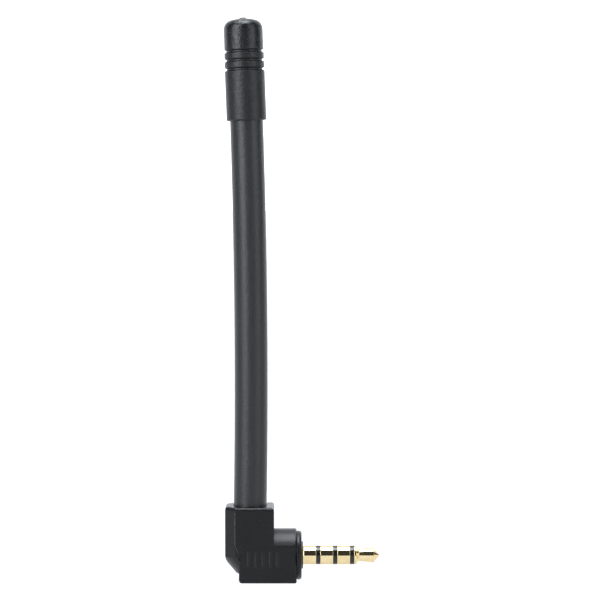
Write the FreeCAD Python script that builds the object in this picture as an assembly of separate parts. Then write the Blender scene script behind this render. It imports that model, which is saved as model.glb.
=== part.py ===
import FreeCAD, Part
import math
import os

from FreeCAD import Placement, Rotation, Vector

# A plug-in whip antenna: a rubber whip stands in a right-angle housing, and a
# four-pole 3.5 mm plug leaves the housing sideways. Millimetres, +Z up the whip,
# +X along the plug. The origin is on the plug's axis, at its shoulder.

# Plug, seen from its shoulder to its nose
plug_diameter = 3.5
sleeve_length = 2.42
ring_length = 2.36
band_length = 0.74
band_recess = 0.03
tip_length = 4.64
tip_land = 0.40
neck_diameter = 2.26
neck_taper = 0.30
neck_length = 0.15
tip_diameter = 2.85
nose_half_angle = 51.0
nose_radius = 0.40

# Plug, the concentric tubes inside it, from the outside in
shoulder_step = 0.19
sleeve_wall = 0.22
tube_wall = 0.20
insulation_wall = 0.18

# Plug, the clamped stack of solder lugs behind it
lug_thickness = 0.30
lug_washer_thickness = 0.50
lug_width = 3.4
lug_washer_diameter = 3.9
lug_tab_width = 1.6
lug_tab_clearance = 0.15
lug_tab_length = 3.9
lug_hole_margin = 0.75
lug_hole_gap = 0.09
rod_stub = 0.35

# Plug base: the round collar between the plug and the housing
collar_diameter = 8.9
collar_thickness = 0.92
collar_bevel = 0.4
boss_diameter = 5.0
boss_height = 0.23
spigot_diameter = 5.0
spigot_overrun = 0.55

# Housing: an arched lower leg, an upright stem and a bevelled side cover
housing_depth = 8.76
housing_wall = 1.5
arch_spring = 2.19
leg_floor_drop = 4.6
leg_reach = 4.14
leg_round = 0.3
heel_round = 0.65
leg_end_bevel = 0.22
arch_blend = 0.5
stem_width = 7.04
stem_height = 9.21
stem_round = 0.6
seat_floor = 0.9
cover_thickness = 1.86
cover_round = 0.6
toe_inset = 0.69
toe_top = 0.7
toe_slope_top = 2.4
cover_drop = 3.12
cover_toe_flat = 0.62
cover_slant_start = 0.86
cover_bend_radius = 3.35
cover_belly_radius = 5.2
lip_wall = 0.7
lip_length = 0.7
pry_notch_width = 0.45
pry_notch_height = 0.18
pry_notch_depth = 0.12
pry_notch_level = 5.7

# Grip ribs on the housing's front and back
rib_count = 5
rib_pitch = 1.31
rib_length = 3.0
rib_width = 0.62
rib_rise = 0.12
rib_slope = 0.24
rib_first_from_toe = 1.80
rib_centre_level = -0.15

# Whip: a rubber rod with a wire through it, bowed to one arc
whip_diameter = 6.0
whip_free_length = 70.24
whip_bend_radius = 1400.0
whip_bow_level = 32.3
wire_diameter = 0.8
wire_top_cover = 3.0

# End cap: a moulded rubber cap pushed over the whip
cap_length = 18.5
cap_skirt_wall = 0.60
cap_band_wall = 0.57
cap_crown_wall = 0.54
cap_dome_radius = 8.4
cap_dome_corner = 1.75
cap_socket_depth = 8.4
groove_count = 3
groove_pitch = 1.63
groove_first = 9.28
groove_width = 0.62
groove_floor = 0.26
groove_depth = 0.36
gate_diameter = 1.5
gate_top_diameter = 1.0
gate_height = 0.16

# Solder round the wire where it goes through its lug
solder_skirt = 0.16
solder_collar = 0.10
solder_height = 0.5
wire_end_below_lug = 0.5

# Clearances, and how far a cutter runs past a face and an edge is looked for
slip_gap = 0.03
whip_socket_gap = 0.10
lip_gap = 0.10
cutter_overrun = 1.0
edge_reach = 0.02

# Places along the plug
plug_radius = plug_diameter / 2
sleeve_end = sleeve_length
ring_2_start = sleeve_end + band_length
ring_2_end = ring_2_start + ring_length
ring_1_start = ring_2_end + band_length
ring_1_end = ring_1_start + ring_length
tip_start = ring_1_end + band_length
nose_end = tip_start + tip_length

# Radii of the concentric tubes
sleeve_tail_radius = plug_radius - shoulder_step
sleeve_bore = sleeve_tail_radius - sleeve_wall
ring_2_tube = sleeve_bore - insulation_wall
ring_2_bore = ring_2_tube - tube_wall
ring_1_tube = ring_2_bore - insulation_wall
ring_1_bore = ring_1_tube - tube_wall
tip_rod = ring_1_bore - insulation_wall

# Places along the housing
leg_end_x = -(boss_height + collar_thickness)
stem_right_x = leg_end_x - leg_reach
seam_x = stem_right_x - stem_width
toe_x = seam_x + toe_inset
cover_x = seam_x - cover_thickness
base_back_x = leg_end_x - housing_wall - spigot_overrun
half_depth = housing_depth / 2
arch_radius = math.hypot(half_depth, arch_spring)
chamber_arch = arch_radius - housing_wall
seat_level = chamber_arch + seat_floor

# The whip's arc: its centre lies to the left, level with the middle of the bow
whip_radius = whip_diameter / 2
wire_radius = wire_diameter / 2
whip_foot_x = (cover_x + stem_right_x) / 2
foot_angle = math.asin((seat_level - whip_bow_level) / whip_bend_radius)
bend_centre_x = whip_foot_x - whip_bend_radius * math.cos(foot_angle)
mouth_angle = math.asin((stem_height - whip_bow_level) / whip_bend_radius)
cap_angle = mouth_angle + whip_free_length / whip_bend_radius
whip_top_angle = cap_angle + (cap_socket_depth - slip_gap) / whip_bend_radius
cap_lean = (cap_angle + whip_top_angle) / 2

# The wire runs straight, on the line that stays nearest to the middle of the bow
wire_share = (1 - math.sqrt(0.5)) / 2
wire_low_angle = foot_angle + wire_share * (whip_top_angle - foot_angle)
wire_high_angle = whip_top_angle - wire_share * (whip_top_angle - foot_angle)
wire_top = whip_bow_level + whip_bend_radius * math.sin(whip_top_angle) - wire_top_cover

# Places along the stack of lugs, each thickness further back
sleeve_lug_back = base_back_x - lug_thickness
ring_2_lug_front = sleeve_lug_back - lug_washer_thickness
ring_2_lug_back = ring_2_lug_front - lug_thickness
ring_1_lug_front = ring_2_lug_back - lug_washer_thickness
ring_1_lug_back = ring_1_lug_front - lug_thickness
tip_lug_front = ring_1_lug_back - lug_washer_thickness
tip_lug_back = tip_lug_front - lug_thickness
lug_washer_radius = lug_washer_diameter / 2
lug_hole_radius = wire_radius + lug_hole_gap
tab_inside = max(lug_washer_radius, lug_width / 2) + lug_tab_clearance
tab_outside = tab_inside + lug_thickness


def along_whip(angle):
    """Point on the whip's centre line at an angle of its arc."""
    x = bend_centre_x + whip_bend_radius * math.cos(angle)
    return Vector(x, 0, whip_bow_level + whip_bend_radius * math.sin(angle))


def bent_rod(radius, low_angle, high_angle):
    """Round rod that follows the whip's arc between two angles."""
    centre = Vector(bend_centre_x, 0, whip_bow_level)
    start = Vector(bend_centre_x + whip_bend_radius, 0, whip_bow_level)
    disc = Part.Face(Part.Wire(Part.makeCircle(radius, start, Vector(0, 0, 1))))
    disc.rotate(centre, Vector(0, -1, 0), math.degrees(low_angle))
    return disc.revolve(centre, Vector(0, -1, 0), math.degrees(high_angle - low_angle))


def outline(place, start, *steps):
    """Closed face: a step is a point for a line, or (through, end) for an arc."""
    edges = []
    here = start
    for step in steps + (start,):
        if isinstance(step[0], tuple):
            through, end = step
            edges.append(Part.Arc(place(*here), place(*through), place(*end)).toShape())
        else:
            end = step
            edges.append(Part.makeLine(place(*here), place(*end)))
        here = end
    return Part.Face(Part.Wire(edges))


def side_view(x, z):
    """Place a point of a side view, which looks along Y."""
    return Vector(x, 0, z)


def plan_view(x, y):
    """Place a point of a plan view, which looks down."""
    return Vector(x, y, 0)


def end_view(y, z):
    """Place a point of an end view, which looks along the plug."""
    return Vector(0, y, z)


def turned(*steps):
    """Solid turned about the plug's axis from (x, radius) steps."""
    return outline(side_view, *steps).revolve(Vector(), Vector(1, 0, 0), 360)


def arch(inset, low_x, high_x):
    """Length of the leg's arched section, drawn in by an inset all round."""
    half = half_depth - inset
    radius = arch_radius - inset
    floor = inset - leg_floor_drop
    spring = math.sqrt(radius ** 2 - half ** 2)
    face = outline(
        end_view, (-half, floor), (half, floor), (half, spring), ((0, radius), (-half, spring)))
    face.translate(Vector(low_x, 0, 0))
    return face.extrude(Vector(high_x - low_x, 0, 0))


def edges_between(solid, low, high):
    """Edges of a solid that lie wholly between two corners of a box."""
    box = FreeCAD.BoundBox(Vector(*low), Vector(*high))
    box.enlarge(edge_reach)
    return [edge for edge in solid.Edges if box.isInside(edge.BoundBox)]


def rod_between(radius, start, end):
    """Straight round rod between two points."""
    axis = end - start
    return Part.makeCylinder(radius, axis.Length, start, axis)


def wire_at(level):
    """Point on the wire's centre line at a height."""
    low = along_whip(wire_low_angle)
    high = along_whip(wire_high_angle)
    return low + (high - low) * ((level - low.z) / (high.z - low.z))


def whip_socket():
    """Straight space for the whip's foot, open at the top."""
    foot = along_whip(foot_angle)
    along = Vector(-math.sin(foot_angle), 0, math.cos(foot_angle))
    depth = stem_height - seat_level + cutter_overrun
    return rod_between(whip_radius + whip_socket_gap, foot, foot + along * depth)


def rib_section(inset, y):
    """Closed outline of a rib, drawn in by an inset, at one depth."""
    half = rib_width / 2 - inset
    high = rib_length / 2 - inset
    corners = [(-half, -high), (half, -high), (half, high), (-half, high), (-half, -high)]
    return Part.makePolygon([Vector(x, y, z) for x, z in corners])


def grip_ribs():
    """Upright ribs with sloping flanks, in a row on the front and on the back."""
    ribs = []
    for side in (-1, 1):
        root = rib_section(-rib_slope, side * (half_depth - rib_rise))
        crest = rib_section(rib_slope, side * (half_depth + rib_rise))
        for index in range(rib_count):
            rib = Part.makeLoft([root, crest], True, True)
            x = toe_x + rib_first_from_toe + index * rib_pitch
            rib.translate(Vector(x, 0, rib_centre_level))
            ribs.append(rib)
    return ribs


def housing_leg():
    """Solid lower leg: arched section, eased long edges, bevelled ends and rounded heel."""
    floor = -leg_floor_drop
    leg = arch(0, toe_x, leg_end_x)
    long_edges = [edge for edge in leg.Edges if edge.BoundBox.XLength > leg_reach]
    leg = leg.makeFillet(leg_round, [edge for edge in long_edges if edge.BoundBox.ZMax < 0])
    long_edges = [edge for edge in leg.Edges if edge.BoundBox.XLength > leg_reach]
    leg = leg.makeFillet(arch_blend, [edge for edge in long_edges if edge.BoundBox.ZMin > 0])
    for end_x in (toe_x, leg_end_x):
        end_edges = edges_between(leg, (end_x, -half_depth, floor), (end_x, half_depth, arch_radius))
        leg = leg.makeChamfer(leg_end_bevel, end_edges)

    arc_in = heel_round * (1 - math.sqrt(0.5))
    heel = outline(
        side_view, (toe_x, arch_radius), (toe_x, floor + heel_round),
        ((toe_x + arc_in, floor + arc_in), (toe_x + heel_round, floor)), (leg_end_x, floor),
        (leg_end_x, arch_radius))
    heel.translate(Vector(0, -half_depth, 0))
    return leg.common(heel.extrude(Vector(0, housing_depth, 0)))


def housing_body():
    """Moulded elbow: stem and leg in one, open on the left for wiring."""
    profile = outline(
        side_view, (seam_x, stem_height), (stem_right_x, stem_height), (stem_right_x, 0),
        (toe_x, 0), (toe_x, toe_top), (seam_x, toe_slope_top))
    profile.translate(Vector(0, -half_depth, 0))
    stem = profile.extrude(Vector(0, housing_depth, 0))
    top_edges = edges_between(
        stem, (seam_x, -half_depth, stem_height), (stem_right_x, half_depth, stem_height))
    rounded = [edge for edge in top_edges if edge.BoundBox.XMax > seam_x + edge_reach]
    stem = stem.makeFillet(stem_round, rounded)

    body = stem.fuse([housing_leg()] + grip_ribs()).removeSplitter()
    chamber = arch(housing_wall, seam_x - cutter_overrun, leg_end_x - housing_wall)
    base_bore = Part.makeCylinder(
        spigot_diameter / 2 + slip_gap, housing_wall + 2 * cutter_overrun,
        Vector(leg_end_x + cutter_overrun, 0, 0), Vector(-1, 0, 0))
    wire_way = rod_between(lug_hole_radius, wire_at(0), wire_at(seat_level + cutter_overrun))
    notch = Part.makeBox(
        pry_notch_width + cutter_overrun, pry_notch_depth + cutter_overrun, pry_notch_height,
        Vector(seam_x - cutter_overrun, -half_depth - cutter_overrun, pry_notch_level))
    return body.cut([chamber, base_bore, whip_socket(), wire_way, notch])


def housing_cover():
    """Side cover: bevelled front and back, with a slanted round belly below and a lip."""
    slant_x = toe_x - cover_toe_flat
    run_x = slant_x - cover_x
    run_z = cover_drop - cover_slant_start
    slant_angle = math.atan2(run_x, run_z)
    tangent = cover_bend_radius * math.tan(slant_angle / 2)
    bend_start = (cover_x, -cover_slant_start + tangent)
    half_turn = slant_angle / 2
    bend_middle = (
        cover_x + cover_bend_radius * (1 - math.cos(half_turn)),
        bend_start[1] - cover_bend_radius * math.sin(half_turn))
    bend_end = (
        cover_x + tangent * math.sin(slant_angle), -cover_slant_start - tangent * math.cos(slant_angle))
    profile = outline(
        side_view, (seam_x, stem_height), (cover_x, stem_height), bend_start, (bend_middle, bend_end),
        (slant_x, -cover_drop), (toe_x, -cover_drop), (toe_x, toe_top), (seam_x, toe_slope_top))
    profile.translate(Vector(0, -half_depth, 0))
    slab = profile.extrude(Vector(0, housing_depth, 0))
    bevel_edge = half_depth - cover_thickness
    plan = outline(
        plan_view, (toe_x, -half_depth), (toe_x, half_depth), (seam_x, half_depth),
        (cover_x, bevel_edge), (cover_x, -bevel_edge), (seam_x, -half_depth))
    plan.translate(Vector(0, 0, -leg_floor_drop))
    cover = slab.common(plan.extrude(Vector(0, 0, leg_floor_drop + stem_height)))

    inward = Vector(math.cos(slant_angle), 0, math.sin(slant_angle))
    downward = Vector(math.sin(slant_angle), 0, -math.cos(slant_angle))
    slant_foot = Vector(slant_x, 0, -cover_drop)

    def across_slant(y, depth):
        return slant_foot + Vector(0, y, 0) + inward * depth

    belly = cover_belly_radius
    far = stem_height + leg_floor_drop
    section = outline(
        across_slant, (-belly, far), (-belly, belly), ((0, 0), (belly, belly)), (belly, far))
    section.translate(downward * -far)
    cover = cover.common(section.extrude(downward * 2 * far))

    top_edges = edges_between(
        cover, (cover_x, -half_depth, stem_height), (seam_x, half_depth, stem_height))
    rounded = [edge for edge in top_edges if edge.BoundBox.XMin < seam_x - edge_reach]
    cover = cover.makeFillet(cover_round, rounded)

    lip_inset = housing_wall + lip_gap
    lip = arch(lip_inset, toe_x, toe_x + lip_length)
    lip_space = arch(lip_inset + lip_wall, toe_x, toe_x + lip_length)
    cover = cover.fuse(lip.cut(lip_space)).removeSplitter()
    return cover.cut(whip_socket())


def plug_base():
    """Moulded base: bevelled collar, boss and the spigot inside the housing."""
    bore = sleeve_tail_radius + slip_gap
    spigot = spigot_diameter / 2
    boss = boss_diameter / 2
    collar = collar_diameter / 2
    front_x = -boss_height
    return turned(
        (base_back_x, bore), (base_back_x, spigot), (leg_end_x, spigot),
        (leg_end_x, collar), (front_x - collar_bevel, collar), (front_x, collar - collar_bevel),
        (front_x, boss), (0, boss), (0, bore))


def collar_contact(start, end, bore, tube, tail_x):
    """Turned contact: a visible barrel on a thin tail tube."""
    return turned(
        (tail_x, bore), (tail_x, tube), (start, tube), (start, plug_radius),
        (end, plug_radius), (end, bore))


def insulator(start, bore, tube, tail_x):
    """Moulded insulator: a visible band with a thin sleeve behind it."""
    band = plug_radius - band_recess
    return turned(
        (tail_x, bore), (tail_x, tube), (start, tube), (start, band),
        (start + band_length, band), (start + band_length, bore))


def tip_contact():
    """Turned tip: land, neck, flared cone and rounded nose on a long rod."""
    angle = math.radians(nose_half_angle)
    nose_x = nose_end - nose_radius
    touch = (nose_x + nose_radius * math.sin(angle), nose_radius * math.cos(angle))
    half_way = math.radians((90 + nose_half_angle) / 2)
    nose_middle = (nose_x + nose_radius * math.sin(half_way), nose_radius * math.cos(half_way))
    flare_x = touch[0] - (tip_diameter / 2 - touch[1]) / math.tan(angle)
    land_end = tip_start + tip_land
    neck_x = land_end + neck_taper
    neck = neck_diameter / 2
    tail_x = tip_lug_back - rod_stub
    return turned(
        (tail_x, 0), (tail_x, tip_rod), (tip_start, tip_rod), (tip_start, plug_radius),
        (land_end, plug_radius), (neck_x, neck),
        (neck_x + neck_length, neck), (flare_x, tip_diameter / 2), touch, (nose_middle, (nose_end, 0)))


def lug(front_x, bore, turn, end_x):
    """Stamped solder lug: a square plate on its tube and a tab bent back."""
    back_x = front_x - lug_thickness
    bend = lug_thickness
    bend_mid = bend * (1 - math.sqrt(0.5))
    half_width = lug_width / 2
    plate = Part.makeBox(lug_thickness, lug_width, lug_width, Vector(back_x, -half_width, -half_width))
    strip = outline(
        side_view, (front_x, bore), (front_x, tab_outside - bend),
        ((front_x - bend_mid, tab_outside - bend_mid), (front_x - bend, tab_outside)),
        (end_x, tab_outside), (end_x, tab_inside), (back_x, tab_inside), (back_x, bore))
    strip.translate(Vector(0, -lug_tab_width / 2, 0))
    tab = strip.extrude(Vector(0, lug_tab_width, 0))
    tube = Part.makeCylinder(bore, lug_thickness, Vector(back_x, 0, 0), Vector(1, 0, 0))
    piece = plate.fuse(tab).cut(tube).removeSplitter()
    piece.rotate(Vector(), Vector(1, 0, 0), turn)
    return piece


def wire_lug():
    """The tip's lug: it reaches under the whip and has a hole for the wire."""
    end_x = wire_at(tab_outside).x - lug_hole_margin
    hole = rod_between(lug_hole_radius, wire_at(0), wire_at(seat_level))
    return lug(tip_lug_front, tip_rod, 0, end_x).cut(hole)


def lug_washer(front_x, bore):
    """Punched insulating washer between two lugs."""
    back_x = front_x - lug_washer_thickness
    rim = lug_washer_radius
    return turned((back_x, bore), (back_x, rim), (front_x, rim), (front_x, bore))


def radiator_wire():
    """Copper wire through the whip, its bare end going down through a lug."""
    return rod_between(wire_radius, wire_at(tab_inside - wire_end_below_lug), wire_at(wire_top))


def solder_joint(wire):
    """Solder cone on top of the lug, drawn up round the wire."""
    foot = lug_hole_radius + solder_skirt
    collar = wire_radius + solder_collar
    top = tab_outside + solder_height
    cone = outline(side_view, (0, tab_outside), (foot, tab_outside), (collar, top), (0, top))
    joint = cone.revolve(Vector(), Vector(0, 0, 1), 360)
    joint.translate(Vector(wire_at(top).x, 0, 0))
    return joint.cut(wire)


def whip_jacket():
    """Rubber rod moulded round the wire, bowed as it stands."""
    rod = bent_rod(whip_radius, foot_angle, whip_top_angle)
    return rod.cut(rod_between(wire_radius + slip_gap, wire_at(0), wire_at(wire_top + slip_gap)))


def end_cap():
    """Rubber cap in one outline: socket, skirt, ring grooves, dome and gate mark."""
    socket = whip_radius + slip_gap
    skirt = socket + cap_skirt_wall
    band = socket + cap_band_wall
    crown = socket + cap_crown_wall
    corner = cap_dome_corner
    corner_out = crown - corner
    dome = cap_dome_radius
    dome_foot = cap_length - dome + math.sqrt((dome - corner) ** 2 - corner_out ** 2)

    def on_corner(angle):
        return (corner_out + corner * math.sin(angle), dome_foot + corner * math.cos(angle))

    def on_dome(angle):
        return (dome * math.sin(angle), cap_length - dome + dome * math.cos(angle))

    blend = math.asin(corner_out / (dome - corner))
    gate = math.asin(gate_diameter / 2 / dome)
    gate_top = cap_length + gate_height
    walls = [skirt] + [band] * (groove_count - 1) + [crown]
    steps = [(skirt, 0)]
    for index in range(groove_count):
        level = groove_first + index * groove_pitch
        steps.append((walls[index], level - groove_width / 2))
        steps.append((band - groove_depth, level - groove_floor / 2))
        steps.append((band - groove_depth, level + groove_floor / 2))
        steps.append((walls[index + 1], level + groove_width / 2))
    steps += [
        (crown, dome_foot), (on_corner((blend + math.pi / 2) / 2), on_corner(blend)),
        (on_dome((blend + gate) / 2), on_dome(gate)), (gate_top_diameter / 2, gate_top), (0, gate_top),
        (0, cap_socket_depth), (socket, cap_socket_depth)]
    cap = outline(side_view, (socket, 0), *steps).revolve(Vector(), Vector(0, 0, 1), 360)
    lean = Rotation(Vector(0, -1, 0), math.degrees(cap_lean))
    cap.Placement = Placement(along_whip(cap_angle), lean)
    return cap


wire = radiator_wire()
pieces = {
    "housing_body": housing_body(),
    "housing_cover": housing_cover(),
    "plug_base": plug_base(),
    "sleeve_contact": collar_contact(0, sleeve_end, sleeve_bore, sleeve_tail_radius, sleeve_lug_back),
    "sleeve_insulator": insulator(sleeve_end, ring_2_tube, sleeve_bore, ring_2_lug_front),
    "ring_2_contact": collar_contact(ring_2_start, ring_2_end, ring_2_bore, ring_2_tube, ring_2_lug_back),
    "ring_2_insulator": insulator(ring_2_end, ring_1_tube, ring_2_bore, ring_1_lug_front),
    "ring_1_contact": collar_contact(ring_1_start, ring_1_end, ring_1_bore, ring_1_tube, ring_1_lug_back),
    "ring_1_insulator": insulator(ring_1_end, tip_rod, ring_1_bore, tip_lug_front),
    "tip_contact": tip_contact(),
    "sleeve_lug": lug(base_back_x, sleeve_tail_radius, 180, sleeve_lug_back - lug_tab_length),
    "sleeve_lug_washer": lug_washer(sleeve_lug_back, sleeve_bore),
    "ring_2_lug": lug(ring_2_lug_front, ring_2_tube, 90, ring_2_lug_back - lug_tab_length),
    "ring_2_lug_washer": lug_washer(ring_2_lug_back, ring_2_bore),
    "ring_1_lug": lug(ring_1_lug_front, ring_1_tube, -90, ring_1_lug_back - lug_tab_length),
    "ring_1_lug_washer": lug_washer(ring_1_lug_back, ring_1_bore),
    "tip_lug": wire_lug(),
    "radiator_wire": wire,
    "solder_joint": solder_joint(wire),
    "whip_jacket": whip_jacket(),
    "end_cap": end_cap(),
}

os.makedirs("parts", exist_ok=True)
for name, piece in pieces.items():
    piece.exportStep("parts/" + name + ".step")
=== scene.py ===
import math

import bmesh
import bpy
import numpy as np
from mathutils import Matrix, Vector


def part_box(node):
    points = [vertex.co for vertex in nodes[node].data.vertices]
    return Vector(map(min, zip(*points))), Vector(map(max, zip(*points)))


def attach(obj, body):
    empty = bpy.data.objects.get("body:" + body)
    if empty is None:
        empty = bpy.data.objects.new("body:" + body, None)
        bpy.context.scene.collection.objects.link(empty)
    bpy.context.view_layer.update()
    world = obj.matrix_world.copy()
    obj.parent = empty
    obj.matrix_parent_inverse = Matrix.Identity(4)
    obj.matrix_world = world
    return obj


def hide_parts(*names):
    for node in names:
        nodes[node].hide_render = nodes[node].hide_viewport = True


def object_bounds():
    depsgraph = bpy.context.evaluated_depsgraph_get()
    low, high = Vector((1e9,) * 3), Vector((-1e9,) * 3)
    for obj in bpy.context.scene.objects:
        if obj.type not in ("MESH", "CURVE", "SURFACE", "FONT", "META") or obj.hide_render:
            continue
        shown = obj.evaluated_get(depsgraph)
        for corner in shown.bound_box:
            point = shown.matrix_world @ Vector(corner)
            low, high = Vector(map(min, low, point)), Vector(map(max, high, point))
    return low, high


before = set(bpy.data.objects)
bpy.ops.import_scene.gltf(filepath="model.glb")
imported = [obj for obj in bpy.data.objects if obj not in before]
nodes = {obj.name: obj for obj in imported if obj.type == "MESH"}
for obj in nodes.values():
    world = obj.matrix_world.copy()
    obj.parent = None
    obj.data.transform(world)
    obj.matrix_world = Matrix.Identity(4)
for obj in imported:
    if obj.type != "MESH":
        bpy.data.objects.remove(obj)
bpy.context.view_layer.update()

# Plug contacts: the tip, two rings and the sleeve. Each is turned from brass rod
# with a thin tail tube and flashed with gold. They slide into one another from
# the nose, with an insulator between each pair.
mm = 0.001  # lengths are in millimetres, apart from the studio's, in metres
tip_tail, nose_end = [corner.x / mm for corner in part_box("tip_contact")]
sleeve_tail, sleeve_end = [corner.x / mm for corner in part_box("sleeve_contact")]
plug_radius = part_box("tip_contact")[1].z / mm
tip_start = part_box("ring_1_insulator")[1].x / mm
ring_1_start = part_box("ring_2_insulator")[1].x / mm
ring_2_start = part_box("sleeve_insulator")[1].x / mm
tip_rod = 0.40
ring_1_bore, ring_1_tube = 0.58, 0.78
ring_2_bore, ring_2_tube = 0.96, 1.16
sleeve_bore, sleeve_tube = 1.34, 1.56
tip_land = 0.40
neck_radius = 1.13
neck_length = 0.45
flare_radius = 1.425
nose_half_angle = 51
nose_round = 0.38
nose_flat = 0.14
edge_ease = 0.08
rod_end_ease = 0.05
rod_root_ease = 0.03
neck_ease = 0.3
flare_ease = 0.07
# The sleeve has a small bevel at its root, against the boss of the plug base.
root_rise = 0.10
root_width = 0.20
root_edge_ease = 0.02
root_foot_ease = 0.05


def eased(corners, steps=7, support=0.03):
    """Closed outline from corners (along, radius, ease), one row of points a corner.

    Each corner is replaced by an arc of radius ease that touches both of its
    sides: the arc's centre lies on the corner's bisector, ease / sin(half the
    inner angle) from it. A support point past each end, a third of the side away
    at most, keeps the sides flat.
    """
    corners = np.array(corners, float)
    here, ease = corners[:, :2], corners[:, 2:]
    ahead = np.roll(here, -1, 0) - here
    side = np.linalg.norm(ahead, axis=1, keepdims=True)
    ahead /= side
    back = -np.roll(ahead, 1, 0)
    half = 0.5 * np.arccos(np.clip((back * ahead).sum(1, keepdims=True), -1, 1))
    reach = ease / np.tan(half)
    room = np.minimum(support, (side - reach - np.roll(reach, -1, 0)) / 3)
    middle = back + ahead
    centre = here + middle / np.linalg.norm(middle, axis=1, keepdims=True) * ease / np.sin(half)
    sweep = np.pi - 2 * half
    share = np.linspace(0, 1, steps)
    from_start = (np.sin((1 - share) * sweep) / np.sin(sweep))[:, :, None]
    from_end = (np.sin(share * sweep) / np.sin(sweep))[:, :, None]
    start = here + back * reach
    end = here + ahead * reach
    arc = (centre[:, None] + from_start * (start - centre)[:, None]
           + from_end * (end - centre)[:, None])
    before = (start + back * np.roll(room, 1, 0))[:, None]
    after = (end + ahead * room)[:, None]
    return np.concatenate([before, arc, after], axis=1)


def along_plug(along):
    """The plug's axis: centre at (along, 0, 0), with Y and Z across it."""
    zero = np.zeros_like(along)
    centre = np.stack([along, zero, zero], -1)
    return centre, np.array([0.0, 1.0, 0.0]), np.array([0.0, 0.0, 1.0])


def carried_round(name, outline, path, around=192, swell=None):
    """Surface of a closed outline (along, radius) carried round a path.

    A point goes to centre(along) + radius * (cos t * side + sin t * up), with t
    round the full turn. swell(along, t, radius) adds to the radius. Millimetres
    in, metres out.
    """
    along, radius = outline.reshape(-1, 2).T
    turn = np.linspace(0, 2 * np.pi, around, endpoint=False)
    centre, side, up = path(along)
    grown = np.repeat(radius[:, None], around, 1)
    if swell is not None:
        grown = np.where(grown > 0, grown + swell(along[:, None], turn[None, :], grown), 0)
    side = np.broadcast_to(side, centre.shape)[:, None]
    up = np.broadcast_to(up, centre.shape)[:, None]
    spoke = np.cos(turn)[None, :, None] * side + np.sin(turn)[None, :, None] * up
    points = centre[:, None] + grown[:, :, None] * spoke
    index = np.arange(len(along) * around).reshape(len(along), around)
    ahead = np.roll(index, -1, 0)
    quads = np.stack([index, np.roll(index, -1, 1), np.roll(ahead, -1, 1), ahead], -1)
    mesh = bpy.data.meshes.new(name)
    mesh.from_pydata((points * mm).reshape(-1, 3), [], quads.reshape(-1, 4))
    # Points that fall together, on the axis or at a sharp corner, become one.
    shape = bmesh.new()
    shape.from_mesh(mesh)
    bmesh.ops.remove_doubles(shape, verts=shape.verts, dist=1e-8)
    bare = [edge for edge in shape.edges if edge.is_wire]
    bmesh.ops.delete(shape, geom=bare, context="EDGES")
    bmesh.ops.recalc_face_normals(shape, faces=shape.faces)
    shape.to_mesh(mesh)
    shape.free()
    mesh.shade_smooth()
    piece = bpy.data.objects.new(name, mesh)
    bpy.context.scene.collection.objects.link(piece)
    return piece


def banded_tube(node, start, radius, bore, tube, ease):
    """Outline of a tail tube with a wider band in front, eased at the band's edges.

    The tube goes from the low end of the node's box to the start, and the band
    from there to the high end.
    """
    tail, end = [corner.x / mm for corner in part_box(node)]
    return eased([
        (tail, bore, 0), (tail, tube, 0), (start, tube, 0), (start, radius, ease),
        (end, radius, ease), (end, bore, 0)])


flare_start = nose_end - (flare_radius - nose_flat) / math.tan(math.radians(nose_half_angle))
contacts = {
    "tip_contact": eased([
        (tip_tail, 0, 0), (tip_tail, tip_rod, rod_end_ease), (tip_start, tip_rod, rod_root_ease),
        (tip_start, plug_radius, edge_ease), (tip_start + tip_land, plug_radius, edge_ease),
        (tip_start + tip_land + neck_length, neck_radius, neck_ease),
        (flare_start, flare_radius, flare_ease), (nose_end, nose_flat, nose_round),
        (nose_end, 0, 0)]),
    "ring_1_contact": banded_tube(
        "ring_1_contact", ring_1_start, plug_radius, ring_1_bore, ring_1_tube, edge_ease),
    "ring_2_contact": banded_tube(
        "ring_2_contact", ring_2_start, plug_radius, ring_2_bore, ring_2_tube, edge_ease),
    "sleeve_contact": eased([
        (sleeve_tail, sleeve_bore, 0), (sleeve_tail, sleeve_tube, 0), (0, sleeve_tube, 0),
        (0, plug_radius + root_rise, root_edge_ease), (root_width, plug_radius, root_foot_ease),
        (sleeve_end, plug_radius, edge_ease), (sleeve_end, sleeve_bore, 0)]),
}


def hex_linear(code):
    """Linear RGBA of an sRGB hex colour."""
    srgb = np.array([int(code[place:place + 2], 16) for place in (1, 3, 5)]) / 255
    linear = np.where(srgb <= 0.04045, srgb / 12.92, ((srgb + 0.055) / 1.055) ** 2.4)
    return (*linear.tolist(), 1.0)


def add(tree, kind, inputs, **settings):
    """Adds a node, with its settings and with values or links on its inputs."""
    node = tree.nodes.new(kind)
    for name, value in settings.items():
        setattr(node, name, value)
    for name, value in inputs.items():
        if isinstance(value, bpy.types.NodeSocket):
            tree.links.new(value, node.inputs[name])
        else:
            node.inputs[name].default_value = value
    return node


def new_material(name):
    """A new material, with its node tree, its shader and the piece's own coordinates."""
    material = bpy.data.materials.new(name)
    material.use_nodes = True
    tree = material.node_tree
    place = add(tree, "ShaderNodeTexCoord", {}).outputs["Object"]
    return material, tree, tree.nodes["Principled BSDF"], place


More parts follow.
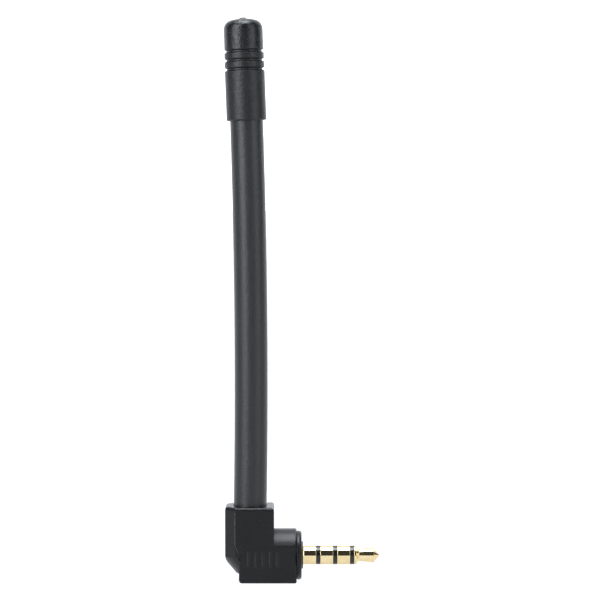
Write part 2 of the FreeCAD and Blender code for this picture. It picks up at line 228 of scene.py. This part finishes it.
# Gold flash over turned brass. The lathe leaves fine rings, drawn 0.14 mm apart
# so that they show, and the plating is a little warmer and duller in patches.
lathe_pitch = 0.14
lathe_reach = 125
plating_patch = 0.9
gold, tree, shader, place = new_material("gold_flashed_brass")
shader.inputs["Metallic"].default_value = 1.0
rings = add(tree, "ShaderNodeMapping", {
    "Vector": place,
    "Scale": (1 / (lathe_pitch * mm), 1 / (lathe_reach * mm), 1 / (lathe_reach * mm))})
lathe = add(tree, "ShaderNodeTexNoise", {
    "Vector": rings.outputs["Vector"], "Scale": 1.0, "Detail": 3.0})
patch = add(tree, "ShaderNodeTexNoise", {
    "Vector": place, "Scale": 1 / (plating_patch * mm), "Detail": 4.0})
colour = add(tree, "ShaderNodeValToRGB", {"Fac": patch.outputs["Fac"]})
colour.color_ramp.elements[0].position = 0.3
colour.color_ramp.elements[0].color = hex_linear("#dcc594")
colour.color_ramp.elements[1].position = 0.7
colour.color_ramp.elements[1].color = hex_linear("#e8d5ac")
sheen = add(tree, "ShaderNodeMapRange", {
    "Value": lathe.outputs["Fac"], "To Min": 0.06, "To Max": 0.16})
bump = add(tree, "ShaderNodeBump", {
    "Height": lathe.outputs["Fac"], "Strength": 0.12, "Distance": 0.01 * mm})
tree.links.new(colour.outputs["Color"], shader.inputs["Base Color"])
tree.links.new(sheen.outputs["Result"], shader.inputs["Roughness"])
tree.links.new(bump.outputs["Normal"], shader.inputs["Normal"])

for node, outline in contacts.items():
    piece = carried_round("gold_" + node, outline, along_plug)
    piece.data.materials.append(gold)
    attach(piece, "root")
    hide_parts(node)

# Insulators: black plastic moulded round each tail tube, with a band that keeps
# two contacts apart. The bands stand a hair under the gold and have soft edges.
band_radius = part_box("ring_1_insulator")[1].z / mm
band_length = 0.74
band_ease = 0.05
bores = {
    "sleeve_insulator": (ring_2_tube, sleeve_bore),
    "ring_2_insulator": (ring_1_tube, ring_2_bore),
    "ring_1_insulator": (tip_rod, ring_1_bore),
}

# Glass-filled nylon with a semi-gloss skin: almost black, with a faint flow
# mottle about 0.4 mm across and a slightly uneven shine.
flow_mottle = 0.4
nylon, tree, shader, place = new_material("black_nylon_insulator")
shader.inputs["IOR"].default_value = 1.46
flow = add(tree, "ShaderNodeTexNoise", {
    "Vector": place, "Scale": 1 / (flow_mottle * mm), "Detail": 4.0})
colour = add(tree, "ShaderNodeValToRGB", {"Fac": flow.outputs["Fac"]})
colour.color_ramp.elements[0].color = hex_linear("#0b0a09")
colour.color_ramp.elements[1].color = hex_linear("#161512")
shine = add(tree, "ShaderNodeMapRange", {
    "Value": flow.outputs["Fac"], "To Min": 0.12, "To Max": 0.25})
bump = add(tree, "ShaderNodeBump", {
    "Height": flow.outputs["Fac"], "Strength": 0.1, "Distance": 0.02 * mm})
tree.links.new(colour.outputs["Color"], shader.inputs["Base Color"])
tree.links.new(shine.outputs["Result"], shader.inputs["Roughness"])
tree.links.new(bump.outputs["Normal"], shader.inputs["Normal"])

for node, (bore, tube) in bores.items():
    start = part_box(node)[1].x / mm - band_length
    outline = banded_tube(node, start, band_radius, bore, tube, band_ease)
    piece = carried_round("nylon_" + node, outline, along_plug)
    piece.data.materials.append(nylon)
    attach(piece, "root")
    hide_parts(node)

# Solder lugs: stamped from brass strip and tinned, pushed on the tail tubes and
# kept apart by washers. Dull silver with soft streaks along the strip.
strip_streak = (0.1, 1.5)
tinned, tree, shader, place = new_material("tinned_brass_strip")
shader.inputs["Metallic"].default_value = 1.0
fine, long = [1 / (size * mm) for size in strip_streak]
drawn = add(tree, "ShaderNodeMapping", {"Vector": place, "Scale": (long, fine, fine)})
streak = add(tree, "ShaderNodeTexNoise", {
    "Vector": drawn.outputs["Vector"], "Scale": 1.0, "Detail": 3.0})
colour = add(tree, "ShaderNodeValToRGB", {"Fac": streak.outputs["Fac"]})
colour.color_ramp.elements[0].color = hex_linear("#b9b4aa")
colour.color_ramp.elements[1].color = hex_linear("#d8d5cf")
dull = add(tree, "ShaderNodeMapRange", {
    "Value": streak.outputs["Fac"], "To Min": 0.28, "To Max": 0.45})
tree.links.new(colour.outputs["Color"], shader.inputs["Base Color"])
tree.links.new(dull.outputs["Result"], shader.inputs["Roughness"])


def finish_nodes(material, *names):
    """Gives CAD nodes a material in place of the one they came with."""
    for name in names:
        nodes[name].data.materials.clear()
        nodes[name].data.materials.append(material)


finish_nodes(tinned, "sleeve_lug", "ring_2_lug", "ring_1_lug", "tip_lug")

# Washers between the lugs: punched from brown phenolic paper board, matt, with
# paper fibres about 0.3 mm long in the cut faces.
paper_fibre = 0.3
board, tree, shader, place = new_material("phenolic_paper_board")
shader.inputs["IOR"].default_value = 1.55
fibre = add(tree, "ShaderNodeTexNoise", {
    "Vector": place, "Scale": 1 / (paper_fibre * mm), "Detail": 5.0})
colour = add(tree, "ShaderNodeValToRGB", {"Fac": fibre.outputs["Fac"]})
colour.color_ramp.elements[0].color = hex_linear("#6a4128")
colour.color_ramp.elements[1].color = hex_linear("#96653f")
matt = add(tree, "ShaderNodeMapRange", {
    "Value": fibre.outputs["Fac"], "To Min": 0.55, "To Max": 0.75})
tree.links.new(colour.outputs["Color"], shader.inputs["Base Color"])
tree.links.new(matt.outputs["Result"], shader.inputs["Roughness"])
finish_nodes(board, "sleeve_lug_washer", "ring_2_lug_washer", "ring_1_lug_washer")

# Plug base: one round moulding, with a collar that shows, a low boss round the
# plug and a spigot that is pressed into the housing's leg.
base_back, base_front = [corner.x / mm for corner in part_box("plug_base")]
collar_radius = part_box("plug_base")[1].z / mm
boss_height = 0.23
collar_thickness = 0.92
spigot_radius = 2.5
base_bore = 1.59
spigot_ease = 0.1
collar_back_ease = 0.15
collar_front_ease = 0.5
boss_foot_ease = 0.05
boss_edge_ease = 0.06
collar_front = base_front - boss_height
collar_back = collar_front - collar_thickness

# Black ABS from a spark-eroded mould: a fine grain that breaks up the shine, drawn
# 0.3 mm wide so that it shows, and a very slight cloudiness from the moulding.
spark_grain = 0.3
mould_cloud = 3.0
abs_black, tree, shader, place = new_material("black_grained_abs")
shader.inputs["IOR"].default_value = 1.34
grain = add(tree, "ShaderNodeTexNoise", {
    "Vector": place, "Scale": 1 / (spark_grain * mm), "Detail": 2.0})
cloud = add(tree, "ShaderNodeTexNoise", {
    "Vector": place, "Scale": 1 / (mould_cloud * mm), "Detail": 3.0})
colour = add(tree, "ShaderNodeValToRGB", {"Fac": cloud.outputs["Fac"]})
colour.color_ramp.elements[0].position = 0.3
colour.color_ramp.elements[0].color = hex_linear("#08090a")
colour.color_ramp.elements[1].position = 0.7
colour.color_ramp.elements[1].color = hex_linear("#0d0e10")
shine = add(tree, "ShaderNodeMapRange", {
    "Value": grain.outputs["Fac"], "To Min": 0.26, "To Max": 0.40})
bump = add(tree, "ShaderNodeBump", {
    "Height": grain.outputs["Fac"], "Strength": 0.7, "Distance": 0.08 * mm})
tree.links.new(colour.outputs["Color"], shader.inputs["Base Color"])
tree.links.new(shine.outputs["Result"], shader.inputs["Roughness"])
tree.links.new(bump.outputs["Normal"], shader.inputs["Normal"])

collar_outline = eased([
    (base_back, base_bore, 0), (base_back, spigot_radius, spigot_ease),
    (collar_back, spigot_radius, 0), (collar_back, collar_radius, collar_back_ease),
    (collar_front, collar_radius, collar_front_ease),
    (collar_front, spigot_radius, boss_foot_ease),
    (base_front, spigot_radius, boss_edge_ease), (base_front, base_bore, 0)])
collar = carried_round("collar_base", collar_outline, along_plug)
collar.data.materials.append(abs_black)
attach(collar, "root")
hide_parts("plug_base")

# Radiator wire and its solder joint: bare drawn copper that hangs from the whip
# and goes through the hole of one lug, with a small cone of tin round it.
# The die leaves bright streaks along the copper, 0.06 mm wide.
die_streak = (0.06, 4.0)
copper, tree, shader, place = new_material("drawn_copper_wire")
shader.inputs["Metallic"].default_value = 1.0
fine, long = [1 / (size * mm) for size in die_streak]
drawn = add(tree, "ShaderNodeMapping", {"Vector": place, "Scale": (fine, fine, long)})
streak = add(tree, "ShaderNodeTexNoise", {
    "Vector": drawn.outputs["Vector"], "Scale": 1.0, "Detail": 3.0})
colour = add(tree, "ShaderNodeValToRGB", {"Fac": streak.outputs["Fac"]})
colour.color_ramp.elements[0].color = hex_linear("#b8734f")
colour.color_ramp.elements[1].color = hex_linear("#d9946c")
dull = add(tree, "ShaderNodeMapRange", {
    "Value": streak.outputs["Fac"], "To Min": 0.2, "To Max": 0.35})
tree.links.new(colour.outputs["Color"], shader.inputs["Base Color"])
tree.links.new(dull.outputs["Result"], shader.inputs["Roughness"])
finish_nodes(copper, "radiator_wire")

# Tin solder sets bright, with frosty patches about 0.25 mm across.
frost_patch = 0.25
tin, tree, shader, place = new_material("tin_solder")
shader.inputs["Metallic"].default_value = 1.0
frost = add(tree, "ShaderNodeTexNoise", {
    "Vector": place, "Scale": 1 / (frost_patch * mm), "Detail": 4.0})
colour = add(tree, "ShaderNodeValToRGB", {"Fac": frost.outputs["Fac"]})
colour.color_ramp.elements[0].color = hex_linear("#b4b5b6")
colour.color_ramp.elements[1].color = hex_linear("#dcdddd")
dull = add(tree, "ShaderNodeMapRange", {
    "Value": frost.outputs["Fac"], "To Min": 0.15, "To Max": 0.3})
tree.links.new(colour.outputs["Color"], shader.inputs["Base Color"])
tree.links.new(dull.outputs["Result"], shader.inputs["Roughness"])
finish_nodes(tin, "solder_joint")

# Housing: the elbow and its side cover, moulded in the same black ABS as the
# plug base and joined round the plug and the foot of the whip.
finish_nodes(abs_black, "housing_body", "housing_cover")

# Seam beads: the cover is welded to the elbow, and a fine uneven roll of the melted
# ABS stands out along the seam, on the front and on the back.
bead_radius = 0.10
bead_sunk = 0.02
bead_taper = 0.8
bead_top = 8.7
bead_rows = 120
bead_level = 0.85
bead_waves = ((0.10, 2.3, 0.0), (0.08, 5.9, 1.0))
cover_thickness = 1.86
toe_inset = 0.69
toe_top = 0.7
toe_slope_top = 2.4
housing_depth = 8.76
seam_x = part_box("housing_cover")[0].x / mm + cover_thickness
seam_corners = np.array([
    [seam_x + toe_inset, toe_top], [seam_x, toe_slope_top], [seam_x, bead_top]])
seam_sides = np.linalg.norm(np.diff(seam_corners, axis=0), axis=1)
seam_run = np.concatenate([[0], np.cumsum(seam_sides)])


def seam_on(face):
    """The seam's line on the front (-1) or back (1): x and z go from corner to corner."""
    def path(along):
        x, z = [np.interp(along, seam_run, corner) for corner in seam_corners.T]
        y = np.full_like(x, face * (housing_depth / 2 - bead_sunk))
        return np.stack([x, y, z], -1), np.array([1.0, 0.0, 0.0]), np.array([0.0, 1.0, 0.0])
    return path


def lumpy(along, level, waves):
    """Uneven height along a line: a level with waves (height, rate, start) on it.

    Each wave adds height * sin(rate * along + start).
    """
    for height, rate, start in waves:
        level = level + height * np.sin(along * rate + start)
    return level


# Melted ABS sets smoother than the grained faces. Its colour is paler than the housing's ABS, a
# painted highlight along the seam, and it changes in patches about 0.5 mm long.
weld_patch = 0.5
welded_abs_painted_highlight, tree, shader, place = new_material("black_welded_abs_painted_highlight")
shader.inputs["IOR"].default_value = 1.53
patch = add(tree, "ShaderNodeTexNoise", {
    "Vector": place, "Scale": 1 / (weld_patch * mm), "Detail": 2.0})
# Both ends of this ramp are paler than the housing's ABS: a painted highlight for the seam's
# light line.
colour = add(tree, "ShaderNodeValToRGB", {"Fac": patch.outputs["Fac"]})
colour.color_ramp.elements[0].position = 0.3
colour.color_ramp.elements[0].color = hex_linear("#17181a")
colour.color_ramp.elements[1].position = 0.7
colour.color_ramp.elements[1].color = hex_linear("#2b2d2f")
shine = add(tree, "ShaderNodeMapRange", {
    "Value": patch.outputs["Fac"], "To Min": 0.14, "To Max": 0.34})
tree.links.new(colour.outputs["Color"], shader.inputs["Base Color"])
tree.links.new(shine.outputs["Result"], shader.inputs["Roughness"])

# The bead's radius swells and shrinks along it, and runs out to nothing at both ends.
along = np.linspace(0, seam_run[-1], bead_rows)
taper = np.clip(np.minimum(along, seam_run[-1] - along) / bead_taper, 0, 1) ** 0.5
bead_radii = bead_radius * taper * lumpy(along, bead_level, bead_waves)
bead_outline = np.stack([along, bead_radii], -1)
for name, face in (("front_seam_bead", -1), ("back_seam_bead", 1)):
    bead = carried_round(name, bead_outline, seam_on(face), around=16)
    bead.data.materials.append(welded_abs_painted_highlight)
    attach(bead, "root")

# Whip: a rubber rod moulded round the wire, bowed to one long arc. It stands in
# the stem of the housing. The two mould halves left a fine line on each side.
whip_radius = 3.0
bend_radius = 1400.0
bow_level = 32.3
seat_level = 4.3
mouth_level = 9.21
free_length = 70.24
foot_in_cap = 8.37
leg_reach = 4.14
wire_bore = 0.43
solid_top = 2.97
whip_ease = 0.1
row_pitch = 0.8
stem_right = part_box("housing_body")[1].x / mm - leg_reach
foot_x = (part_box("housing_cover")[0].x / mm + stem_right) / 2
foot_angle = math.asin((seat_level - bow_level) / bend_radius)
mouth_angle = math.asin((mouth_level - bow_level) / bend_radius)
bend_centre_x = foot_x - bend_radius * math.cos(foot_angle)
cap_start = (mouth_angle - foot_angle) * bend_radius + free_length
whip_length = cap_start + foot_in_cap
line_height = 0.03
line_width = 0.10
line_depth = 0.5
line_level = 0.6
line_waves = ((0.25, 1.7, 0.0), (0.15, 4.1, 1.0))


def along_whip(along):
    """The whip's arc, from its foot: the angle is foot angle + along / radius."""
    angle = foot_angle + along / bend_radius
    zero = np.zeros_like(angle)
    x = bend_centre_x + bend_radius * np.cos(angle)
    z = bow_level + bend_radius * np.sin(angle)
    outward = np.stack([np.cos(angle), zero, np.sin(angle)], -1)
    return np.stack([x, zero, z], -1), outward, np.array([0.0, 1.0, 0.0])


def mould_line(along, turn, radius):
    """Low ridges at turn 0 and pi: a bell of the distance from them round the rod.

    Only the outer skin has them, not the bore.
    """
    away = radius * np.arcsin(np.abs(np.sin(turn)))
    ridge = line_height * lumpy(along, line_level, line_waves) * np.exp(-(away / line_width) ** 2)
    return np.where(radius > whip_radius - line_depth, ridge, 0)


def drawn_out(outline, pitch):
    """Outline with added points, none further apart than a pitch."""
    ring = outline.reshape(-1, 2)
    ring = np.vstack([ring, ring[:1]])
    run = np.concatenate([[0], np.cumsum(np.linalg.norm(np.diff(ring, axis=0), axis=1))])
    stops = np.union1d(run[:-1], np.arange(0, run[-1], pitch))
    return np.stack([np.interp(stops, run, ring[:, 0]), np.interp(stops, run, ring[:, 1])], -1)


# Black rubber with carbon filler: satin, softly streaked along its length from
# the mould, with specks drawn 0.35 mm wide so that they show.
mould_streak = (0.5, 7.0)
filler_speck = 0.35
rubber, tree, shader, place = new_material("black_moulded_rubber")
shader.inputs["IOR"].default_value = 1.45
fine, long = [1 / (size * mm) for size in mould_streak]
lengthways = add(tree, "ShaderNodeMapping", {"Vector": place, "Scale": (fine, fine, long)})
streak = add(tree, "ShaderNodeTexNoise", {
    "Vector": lengthways.outputs["Vector"], "Scale": 1.0, "Detail": 4.0})
speck = add(tree, "ShaderNodeTexNoise", {
    "Vector": place, "Scale": 1 / (filler_speck * mm), "Detail": 2.0})
both = add(tree, "ShaderNodeMath", {
    0: streak.outputs["Fac"], 1: speck.outputs["Fac"]}, operation="ADD")
colour = add(tree, "ShaderNodeValToRGB", {"Fac": streak.outputs["Fac"]})
colour.color_ramp.elements[0].position = 0.3
colour.color_ramp.elements[0].color = hex_linear("#151617")
colour.color_ramp.elements[1].position = 0.7
colour.color_ramp.elements[1].color = hex_linear("#1c1e20")
satin = add(tree, "ShaderNodeMapRange", {
    "Value": both.outputs["Value"], "From Max": 2.0, "To Min": 0.30, "To Max": 0.44})
bump = add(tree, "ShaderNodeBump", {
    "Height": speck.outputs["Fac"], "Strength": 0.6, "Distance": 0.08 * mm})
tree.links.new(colour.outputs["Color"], shader.inputs["Base Color"])
tree.links.new(satin.outputs["Result"], shader.inputs["Roughness"])
tree.links.new(bump.outputs["Normal"], shader.inputs["Normal"])

whip_outline = drawn_out(eased([
    (0, wire_bore, 0), (0, whip_radius, whip_ease), (whip_length, whip_radius, whip_ease),
    (whip_length, 0, 0), (whip_length - solid_top, 0, 0),
    (whip_length - solid_top, wire_bore, 0)]), row_pitch)
whip = carried_round("rubber_whip", whip_outline, along_whip, swell=mould_line)
whip.data.materials.append(rubber)
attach(whip, "root")
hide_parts("whip_jacket")

# End cap: a rubber moulding pushed over the top of the whip. Ring grooves give
# the fingers a hold, and the dome keeps the mark of the mould's gate.
socket_radius = 3.03
skirt_radius = 3.63
band_outer = 3.60
crown_radius = 3.57
cap_length = 18.5
mouth_ease = 0.05
skirt_ease = 0.25
groove_first = 9.28
groove_pitch = 1.63
groove_width = 0.62
groove_floor = 0.26
groove_depth = 0.36
groove_round = 0.1
groove_floor_ease = 0.04
socket_end = 8.4
dome_radius = 8.4
dome_corner = 1.75
corner_rows = 24
dome_rows = 16
gate_radius = 0.75
gate_top = 0.5
gate_height = 0.16
gate_shoulder = 0.8
gate_ease = 0.05
cap_lean = foot_angle + (cap_start + whip_length) / 2 / bend_radius
cap_foot = along_whip(np.array([cap_start]))[0][0]
cap_axis = np.array([-math.sin(cap_lean), 0, math.cos(cap_lean)])


def along_cap(along):
    """The cap's straight axis: centre at its mouth + along * axis."""
    across = np.array([cap_axis[2], 0, -cap_axis[0]])
    return cap_foot + along[:, None] * cap_axis, across, np.array([0.0, 1.0, 0.0])


# The outline goes up the skirt and through the grooves, over the rounded shoulder
# and the dome to the gate, and back down inside the socket.
walls = [skirt_radius, band_outer, band_outer, crown_radius]
groove_bottom = band_outer - groove_depth
corners = [(0, socket_radius, mouth_ease), (0, skirt_radius, skirt_ease)]
for index, (below, over) in enumerate(zip(walls, walls[1:])):
    level = groove_first + index * groove_pitch
    corners += [
        (level - groove_width / 2, below, groove_round),
        (level - groove_floor / 2, groove_bottom, groove_floor_ease),
        (level + groove_floor / 2, groove_bottom, groove_floor_ease),
        (level + groove_width / 2, over, groove_round)]
corner_out = crown_radius - dome_corner
dome_middle = cap_length - dome_radius
dome_foot = dome_middle + math.sqrt((dome_radius - dome_corner) ** 2 - corner_out ** 2)
blend = math.asin(corner_out / (dome_radius - dome_corner))
turn = np.linspace(math.pi / 2, blend, corner_rows)
corner_arc = np.stack([
    dome_foot + dome_corner * np.cos(turn), corner_out + dome_corner * np.sin(turn)], -1)
turn = np.linspace(blend, math.asin(gate_radius / dome_radius), dome_rows)[1:]
dome_arc = np.stack([
    dome_middle + dome_radius * np.cos(turn), dome_radius * np.sin(turn)], -1)
gate = np.array([
    [cap_length + gate_height * gate_shoulder, gate_top + gate_ease],
    [cap_length + gate_height, gate_top - gate_ease],
    [cap_length + gate_height, 0], [socket_end, 0], [socket_end, socket_radius]])
closing = [(dome_foot, crown_radius, 0), (socket_end, socket_radius, 0)]
ringed = eased(corners + closing)[:-len(closing)].reshape(-1, 2)
cap_outline = np.vstack([ringed, corner_arc, dome_arc, gate])

# The cap's rubber: the same black filler, from a duller mould with a grain, drawn
# 0.45 mm across so that it shows, that sparkles where the light grazes it. Fingers
# have polished the crown, above the grooves.
mould_grain = 0.45
filler_cloud = 2.5
crown_level = (cap_foot[2] + groove_first + 2 * groove_pitch) * mm
cap_rubber, tree, shader, place = new_material("black_grained_rubber")
shader.inputs["IOR"].default_value = 1.43
grain = add(tree, "ShaderNodeTexNoise", {
    "Vector": place, "Scale": 1 / (mould_grain * mm), "Detail": 2.0})
cloud = add(tree, "ShaderNodeTexNoise", {
    "Vector": place, "Scale": 1 / (filler_cloud * mm), "Detail": 3.0})
colour = add(tree, "ShaderNodeValToRGB", {"Fac": cloud.outputs["Fac"]})
colour.color_ramp.elements[0].position = 0.3
colour.color_ramp.elements[0].color = hex_linear("#0a0c0e")
colour.color_ramp.elements[1].position = 0.7
colour.color_ramp.elements[1].color = hex_linear("#111416")
height = add(tree, "ShaderNodeSeparateXYZ", {"Vector": place}).outputs["Z"]
crown = {"Value": height, "From Min": crown_level - mm, "From Max": crown_level + mm}
smooth = add(tree, "ShaderNodeMapRange", {**crown, "To Min": 0.31, "To Max": 0.22})
rough = add(tree, "ShaderNodeMapRange", {**crown, "To Min": 0.52, "To Max": 0.38})
relief = add(tree, "ShaderNodeMapRange", {**crown, "To Min": 0.5, "To Max": 0.7})
satin = add(tree, "ShaderNodeMapRange", {
    "Value": grain.outputs["Fac"],
    "To Min": smooth.outputs["Result"], "To Max": rough.outputs["Result"]})
bump = add(tree, "ShaderNodeBump", {
    "Height": grain.outputs["Fac"], "Strength": relief.outputs["Result"], "Distance": 0.12 * mm})
tree.links.new(colour.outputs["Color"], shader.inputs["Base Color"])
tree.links.new(satin.outputs["Result"], shader.inputs["Roughness"])
tree.links.new(bump.outputs["Normal"], shader.inputs["Normal"])

cap = carried_round("ringed_cap", cap_outline, along_cap)
cap.data.materials.append(cap_rubber)
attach(cap, "root")
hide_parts("end_cap")

# Studio: a white table top under the antenna, a bright surround behind and above
# it, a dark front, and two tall soft lamps in front to the left and right.
table_radius = 6.0
table_sides = 64
floor_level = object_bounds()[0][2]
floor_mesh = bpy.data.meshes.new("table_top")
spin = np.linspace(0, 2 * np.pi, table_sides, endpoint=False)
rim = np.stack([
    table_radius * np.cos(spin), table_radius * np.sin(spin),
    np.full(table_sides, floor_level)], -1)
floor_mesh.from_pydata(rim, [], [list(range(table_sides))])
floor = bpy.data.objects.new("table_top", floor_mesh)
bpy.context.scene.collection.objects.link(floor)

# Matt white paper with a faint tooth, drawn 2 mm wide so that it shows. It is lit
# through from below, so that it stays white.
paper_tooth = 2.0
paper, tree, shader, place = new_material("white_paper_sweep")
shader.inputs["Roughness"].default_value = 0.9
shader.inputs["Specular IOR Level"].default_value = 0.1
shader.inputs["Emission Color"].default_value = hex_linear("#f8fbff")
shader.inputs["Emission Strength"].default_value = 0.98
tooth = add(tree, "ShaderNodeTexNoise", {
    "Vector": place, "Scale": 1 / (paper_tooth * mm), "Detail": 3.0})
colour = add(tree, "ShaderNodeValToRGB", {"Fac": tooth.outputs["Fac"]})
colour.color_ramp.elements[0].color = hex_linear("#565656")
colour.color_ramp.elements[1].color = hex_linear("#5c5c5c")
tree.links.new(colour.outputs["Color"], shader.inputs["Base Color"])
floor_mesh.materials.append(paper)

# The surround goes by the heading, with Y to the back and Z up. The backdrop is
# brightest low down, and the ceiling is brightest towards the front.
front_glow = 0.045
backdrop_low, backdrop_high = 2.0, 1.3
ceiling_front, ceiling_back = 12.0, 8.6
world = bpy.data.worlds.new("white_studio")
world.use_nodes = True
bpy.context.scene.world = world
tree = world.node_tree
heading = add(tree, "ShaderNodeTexCoord", {}).outputs["Generated"]
parts = add(tree, "ShaderNodeSeparateXYZ", {"Vector": heading})
behind = add(tree, "ShaderNodeMapRange", {
    "Value": parts.outputs["Y"], "From Min": 0.33, "From Max": 0.52},
    interpolation_type="SMOOTHSTEP")
above = add(tree, "ShaderNodeMapRange", {
    "Value": parts.outputs["Z"], "From Min": 0.92, "From Max": 0.935},
    interpolation_type="SMOOTHSTEP")
fading = add(tree, "ShaderNodeMapRange", {
    "Value": parts.outputs["Z"], "From Min": 0.05, "From Max": 0.45,
    "To Min": backdrop_low, "To Max": backdrop_high})
backdrop = add(tree, "ShaderNodeMapRange", {
    "Value": behind.outputs["Result"], "To Min": front_glow, "To Max": fading.outputs["Result"]})
forward = add(tree, "ShaderNodeMapRange", {
    "Value": parts.outputs["Y"], "From Min": -0.1, "From Max": 0.4,
    "To Min": ceiling_front, "To Max": ceiling_back})
ceiling = add(tree, "ShaderNodeMapRange", {
    "Value": above.outputs["Result"], "To Min": 0.0, "To Max": forward.outputs["Result"]})
level = add(tree, "ShaderNodeMath", {
    0: backdrop.outputs["Result"], 1: ceiling.outputs["Result"]}, operation="MAXIMUM")
tree.links.new(level.outputs["Value"], tree.nodes["Background"].inputs["Strength"])
tree.nodes["Background"].inputs["Color"].default_value = hex_linear("#f7fbff")

antenna_middle = np.array([-0.009, 0, 0.047])


def soft_lamp(name, heading, height, distance, width, tall, watts):
    """Soft lamp that faces the antenna, a heading in degrees left of its front."""
    light = bpy.data.lights.new(name, "AREA")
    light.shape = "RECTANGLE"
    light.size = width
    light.size_y = tall
    light.energy = watts
    light.color = hex_linear("#f6faff")[:3]
    lamp = bpy.data.objects.new(name, light)
    turn = math.radians(heading)
    away = np.array([-distance * math.sin(turn), -distance * math.cos(turn), height])
    spot = antenna_middle + away
    outward = Vector(spot) - Vector(antenna_middle)
    lamp.location = spot
    lamp.rotation_euler = outward.to_track_quat("Z", "Y").to_euler()
    bpy.context.scene.collection.objects.link(lamp)


soft_lamp("left_lamp", heading=42, height=0.33, distance=0.8, width=0.54, tall=0.84, watts=9.3)
soft_lamp("right_lamp", heading=-54, height=0.33, distance=0.8, width=0.52, tall=0.84, watts=3.2)

# Camera: level with the whip's upper part, in front of it, and tipped down a
# little, so that the housing is seen slightly from above.
camera_place = (-0.54, -450, 68)
camera_tip = 2.7
camera_field = 13.85
camera_data = bpy.data.cameras.new("front_camera")
camera_data.sensor_width = 36.0
camera_data.angle = math.radians(camera_field)
camera_data.clip_start = 0.01
camera_data.clip_end = 20.0
camera = bpy.data.objects.new("front_camera", camera_data)
camera.location = [part * mm for part in camera_place]
camera.rotation_euler = (math.radians(90 - camera_tip), 0, 0)
bpy.context.scene.collection.objects.link(camera)
bpy.context.scene.camera = camera
bpy.context.scene.view_settings.view_transform = "Standard"
